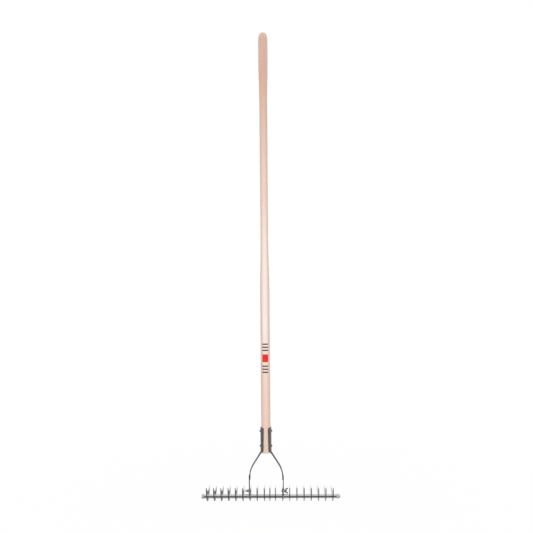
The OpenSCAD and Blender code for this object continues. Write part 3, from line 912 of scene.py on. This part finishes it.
z, limit, edge = hexagon_rings(NUT_HEX)
corners = [[COLLAR_R, NUT_HEX], [COLLAR_R, COLLAR_Z], [LIP_R, COLLAR_Z], [BORE_R, LIP_Z]]
collar, collar_edge = soft_corners(corners, 0.8)
bore = six_sided([BORE_R])
z = joined([[0], z, collar[:, 1], [BORE_FOOT]])
radius = joined([bore, six_sided(limit), np.repeat(collar[:, :1], HEX_SIDES, 1), bore])
edge = joined([[0], edge, collar_edge, [0]])
lock_nut = turned_about_z(turned(radius, z[:, None], edge, HEX_SIDES, tube=True), REST_TILT)
lock_nut = tilted(along_x(lock_nut, RIGHT_END))
piece("rod_lock_nut_hex", [lock_nut], rod_zinc, "head", "rod_lock_nut")
print("rod from", LEFT_END - ROD_HEAD, "to", round(LEFT_END + ROD_LENGTH, 1), "mm")

# %% [markdown]
# ## Clamps
# A round-headed bolt, a washer and a wing nut on each side hold the head's tilt. The bolt
# sits in the inner tine and swings in the arm's curved slot. The right side is made and the
# left one is its mirror image, apart from the wings, which stand upright on the right and
# lie level on the left. A hair of air stays between washer and nut, because two faces in
# one plane would flicker. A wing is a flattened oval carried along a bent path from the hub
# to the tip, where the oval closes in a round end.

# %% Clamp bolts and washers
CLAMP_R, BOLT_FACE, WASHER_X, NUT_X, BOLT_END, HAIR = 2.4, 51.4, 56.65, 57.85, 67.25, 0.02
BOLT_HEAD_R, BOLT_HEAD, BOLT_PITCH, BOLT_NECK, BOLT_GROOVE = 5.5, 2.6, 1.06, 2.6, 0.3
WASHER_R, CLAMP_BORE, WASHER_SOFT = 5.75, 2.48, 0.22
NEARLY = 0.97


def dome_head(radius, height, under=0.0, sides=48):
    """A spherical cap of a given radius and height on a flat or sunk underside, pointing along
    +Z. The cap starts a little inside its rim, so that no two rings fall together."""
    ball = (radius ** 2 + height ** 2) / (2 * height)
    a = np.linspace(NEARLY * math.asin(min(1.0, radius / ball)), 0, 14)[:-1]
    cap = np.stack([ball * np.sin(a), height - ball + ball * np.cos(a)], 1)
    rim = [[radius * 0.5, -under], [radius * 0.94, -under], [radius, 0.02 - under * 0.6]]
    profile = joined([rim, cap])
    edge = joined([[0, 0.5, 1], np.linspace(0.9, 0.35, len(cap))])
    return turned(profile[:, :1], profile[:, 1:], edge, sides)


points, blocks, edge = dome_head(BOLT_HEAD_R, BOLT_HEAD)
head = points * [1, 1, -1], blocks, edge
shaft = threaded(BOLT_END - BOLT_FACE, CLAMP_R, BOLT_PITCH, BOLT_NECK, BOLT_GROOVE)
bolt = [tilted(along_x(skin, BOLT_FACE), CLAMP_LIFT) for skin in (head, shaft)]
washer = [tilted(tube(WASHER_X, NUT_X - HAIR, WASHER_R, CLAMP_BORE, WASHER_SOFT, 48), CLAMP_LIFT)]
pair("clamp_bolt", "turned", bolt, [mirrored(s) for s in bolt], bolt_zinc, "head")
pair("washer", "disc", washer, [mirrored(s) for s in washer], bolt_zinc)
print("clamp bolts reach", BOLT_END, "mm from the middle")

# %% Wing nuts
HUB_R, HUB_TAPER, HUB_HEIGHT, HUB_SOFT = 4.5, 0.6, 6.0, 0.5
WING_ROOT, WING_BEND, WING_END = (3.6, 2.8), (5.2, 6.2), (6.7, 10.0)
ROOT_HALF, TIP_HALF, WING_THICK, TIP_ROWS = 1.4, 2.55, 1.0, 8


def squarish(wave):
    """A sine or cosine raised to the power 0.6 with its sign kept, which fills out an oval."""
    return np.sign(wave) * np.abs(wave) ** 0.6


def wing(sides=32, rows=26):
    """One wing in (radial, axial) space: an oval of a half width and a half thickness, carried
    along a parabola and closed by a round tip that ends in a small flat."""
    t = np.linspace(0, 1, rows)[:, None]
    root, bend, end = np.array([WING_ROOT, WING_BEND, WING_END])
    path = (1 - t) ** 2 * root + 2 * t * (1 - t) * bend + t ** 2 * end
    ahead = np.gradient(path, axis=0)
    ahead /= np.linalg.norm(ahead, axis=1, keepdims=True)
    across = np.stack([ahead[:, 1], -ahead[:, 0]], 1)
    tip = np.linspace(0, NEARLY * np.pi / 2, TIP_ROWS + 1)[1:]
    path = joined([path, path[-1] + TIP_HALF * np.sin(tip)[:, None] * ahead[-1]])
    across = joined([across, np.repeat(across[-1:], TIP_ROWS, 0)])
    width = joined([ROOT_HALF + (TIP_HALF - ROOT_HALF) * t[:, 0], TIP_HALF * np.cos(tip)])
    thick = joined([np.full(rows, WING_THICK), WING_THICK * np.sqrt(np.cos(tip))])
    a = np.linspace(0, 2 * np.pi, sides, endpoint=False)
    flat = path[:, None] + (width[:, None] * squarish(np.cos(a)))[..., None] * across[:, None]
    side = thick[:, None] * squarish(np.sin(a))
    points = joined([flat[..., :1], side[..., None], flat[..., 1:]], -1).reshape(-1, 3)
    edges = np.repeat([0.25, 0.8], [rows * sides, TIP_ROWS * sides])
    return points, capped(len(path), sides, np.arange(sides)[None]), edges


def wing_nut(angle):
    """Hub and two wings on the right bolt, turned by an angle about it."""
    hub = tube(NUT_X, NUT_X + HUB_HEIGHT, HUB_R, CLAMP_BORE, HUB_SOFT, 48, HUB_TAPER)
    wings = [along_x(turned_about_z(wing(), angle + half), NUT_X) for half in (0, math.pi)]
    return [tilted(skin, CLAMP_LIFT) for skin in (hub, *wings)]


upright, level_wings = wing_nut(math.pi / 2), [mirrored(s) for s in wing_nut(REST_TILT)]
pair("wing_nut", "cast", upright, level_wings, wing_nut_zinc)
print("wing nuts:", sum(len(s[0]) for s in upright), "points each")

# %% [markdown]
# ## Bow arms
# Each arm is one strip of steel. Its top is a half socket round the handle; below it the
# strip flares out, bends back and ends in a flat foot on the rod. The strip is a rounded
# oblong section carried down a path of straight runs and bends. The path gives the
# distance from the handle's axis, and the section bends round that axis, so the socket and
# the nearly flat lower strap come from one formula. The foot is a plate with a round hole
# and a curved slot.

# %% Arm strap
SOCKET_MID, STRAP_T, STRAP_X, SOCKET_TOP, TOP_ROUND = 16.5, 2.8, 53.8, 225.0, 4.0
FLARE, HIP_R, KNEE_R, HIP_Z, STRAP_HALF = math.radians(32), 14.0, 76.0, 150.0, 9.0
STRAP_OVERLAP, SLIT_LOW, SLIT_HIGH, WIDENING, RIM_ROWS = 9.5, 9.0, 7.3, 0.647, 4
END_CUT, NEXT_CUT, LAST_STEP = 0.4, 0.12, 0.5
flare_top = HIP_Z - HIP_R * math.sin(FLARE)
flare_run = STRAP_X - SOCKET_MID - (HIP_R + KNEE_R) * (1 - math.cos(FLARE))
flare_end = flare_top - flare_run / math.tan(FLARE)
knee_z = flare_end - KNEE_R * math.sin(FLARE)


def strap_path():
    """Distance from the axis, height and slope down the middle of the strap: straight, bend,
    straight, bend, straight."""
    corner = TOP_ROUND * (1 - np.cos(np.linspace(0.5, np.pi / 2, 8)))
    top = SOCKET_TOP - joined([[0, 0.15, 0.4], corner])
    socket = joined([top, np.linspace(SOCKET_TOP - 6, HIP_Z, 26)])
    a = np.linspace(0, FLARE, 15)[1:]
    hip = np.stack([SOCKET_MID + HIP_R * (1 - np.cos(a)), HIP_Z - HIP_R * np.sin(a), a], 1)
    b = np.linspace(FLARE, 0, 33)
    knee = np.stack([STRAP_X - KNEE_R * (1 - np.cos(b)), knee_z + KNEE_R * np.sin(b), b], 1)
    s = np.linspace(0, 1, 16)[1:-1, None]
    flare = (1 - s) * hip[-1] + s * knee[0]
    down = np.stack([np.full(len(socket), SOCKET_MID), socket, np.zeros(len(socket))], 1)
    end = [[STRAP_X, knee_z - STRAP_OVERLAP + step, 0] for step in (LAST_STEP, 0)]
    return joined([down, hip, flare, knee, end])


def strap_reach(r, z):
    """Half angle of the strap about the axis: it keeps clear of the slit, rounds its top
    corners, and narrows to its width."""
    corner = np.clip(z - (SOCKET_TOP - TOP_ROUND), 0, TOP_ROUND)
    slit = np.interp(z, [HANDLE_Z, SOCKET_TOP], [SLIT_LOW, SLIT_HIGH])
    slit = slit + TOP_ROUND - np.sqrt(TOP_ROUND ** 2 - corner ** 2)
    width = STRAP_HALF + WIDENING * np.clip(z - HANDLE_Z, 0, None)
    return np.minimum(np.arccos(np.clip(slit / r, -1, 1)), np.arcsin(np.clip(width / r, -1, 1)))


def arm_strap(soft=0.5, columns=18):
    """The section is a loop: outer face, rounded edge, inner face, rounded edge. It bends round
    the handle's axis at every row."""
    r, z, slope = strap_path().T
    thick = np.full(len(r), STRAP_T / 2)
    thick[[0, -1]] -= END_CUT
    thick[1] -= NEXT_CUT
    reach = strap_reach(r, z) * r
    u, on_face, on_rim = np.linspace(-1, 1, columns), np.zeros(columns), np.ones(2 * RIM_ROWS)
    a = np.linspace(0, np.pi / 2, RIM_ROWS + 1)[1:]
    round_off = joined([np.sin(a), np.sin(a[::-1])])
    drop = joined([1 - np.cos(a), 1 - np.cos(a[::-1])])
    half_way = np.repeat([1.0, -1.0], RIM_ROWS)
    across = joined([u, on_rim, u[::-1], -on_rim])
    beyond = joined([on_face, round_off, on_face, -round_off]) * soft
    sunk = joined([on_face, drop, on_face, drop]) * soft
    sign = joined([on_face + 1, half_way, on_face - 1, -half_way])
    offset = sign * (thick[:, None] - sunk)
    angle = (across * (reach[:, None] - soft) + beyond) / r[:, None]
    distance = r[:, None] + offset * np.cos(slope)[:, None]
    height = z[:, None] + offset * np.sin(slope)[:, None]
    points = np.stack([distance * np.cos(angle), distance * np.sin(angle), height], -1).reshape(-1, 3)
    rim = np.arange(2 * RIM_ROWS)
    j = np.arange(columns - 1)
    last = 2 * columns + 2 * RIM_ROWS - 1
    end = np.stack([j, j + 1, last - 1 - j, last - j], -1)
    right_rim = np.array([[columns - 1, *(columns + rim), columns + 2 * RIM_ROWS]])
    left_rim = np.array([[0, last, *(last + 1 + rim)]])
    worn = joined([on_face, on_rim, on_face, on_rim])
    edges = np.maximum(worn[None], (np.arange(len(r)) < 2)[:, None]).ravel()
    return points, capped(len(r), len(across), end, right_rim, left_rim), edges


strap = arm_strap()
print(f"strap: {len(strap[0])} points, knee at {knee_z:.1f} mm")

# %% Arm foot
FOOT_R, LAP, SLOT_W, SLOT_RIM, SWING, FOOT_SOFT = 9.0, 4.0, 5.4, 3.8, 25.0, 0.4
slot_end = CLAMP_LIFT * np.array([math.sin(math.radians(SWING)), math.cos(math.radians(SWING))])


def foot_outline():
    """From the strap's top corner down: shoulder arc, straight side, end round the rod, and the
    same back up."""
    r = SLOT_W / 2 + SLOT_RIM
    turn = math.degrees(math.acos((FOOT_R - r) / CLAMP_LIFT))
    rise = math.degrees(math.acos((STRAP_HALF - slot_end[0]) / r))
    right = joined([
        [[STRAP_HALF, knee_z + LAP]],
        arc(slot_end, r, 90 - rise, SWING + turn, 12),
        arc([0, 0], FOOT_R, SWING + turn, 180, 14),
    ])
    return joined([right, right[-2::-1] * [-1, 1]])


def curved_slot():
    """Two arcs about the rod, a slot's width apart, joined by round ends."""
    half = SLOT_W / 2
    return joined([
        arc([0, 0], CLAMP_LIFT + half, -SWING, SWING, 13),
        arc(slot_end, half, SWING, SWING + 180, 9)[1:-1],
        arc([0, 0], CLAMP_LIFT - half, SWING, -SWING, 13),
        arc(slot_end * [-1, 1], half, 180 - SWING, 360 - SWING, 9)[1:-1],
    ])


plate = filled_plate([foot_outline(), rod_hole, curved_slot()], STRAP_T, FOOT_SOFT)
arm = [strap, moved(plate, STRAP_X + STRAP_T / 2)]
pair("arm", "steel", arm, [mirrored(s) for s in arm], arm_paint, "handle_and_bow")
print(f"foot: {len(plate[0])} points")

# %% [markdown]
# ## Rivets
# Two rivets go through arms and handle. Only their heads show: low domes, hammered down
# on the round of the sockets. Each head's underside is sunk a little, because a flat
# underside would gape where the socket curves away.

# %% Rivets
RIVET_R, RIVET_H, RIVET_SINK = 3.9, 2.9, 0.7
rivet_z = {"upper_rivet": 212.6, "lower_rivet": 164.3}
socket_out = SOCKET_MID + STRAP_T / 2
for name, z in rivet_z.items():
    head = moved(along_x(dome_head(RIVET_R, RIVET_H, RIVET_SINK), socket_out), z=z)
    piece(f"{name}_heads", [head, mirrored(head)], rivet_finish, "handle_and_bow", name)
print("rivet heads", round(np.ptp(list(rivet_z.values())), 1), "mm apart")
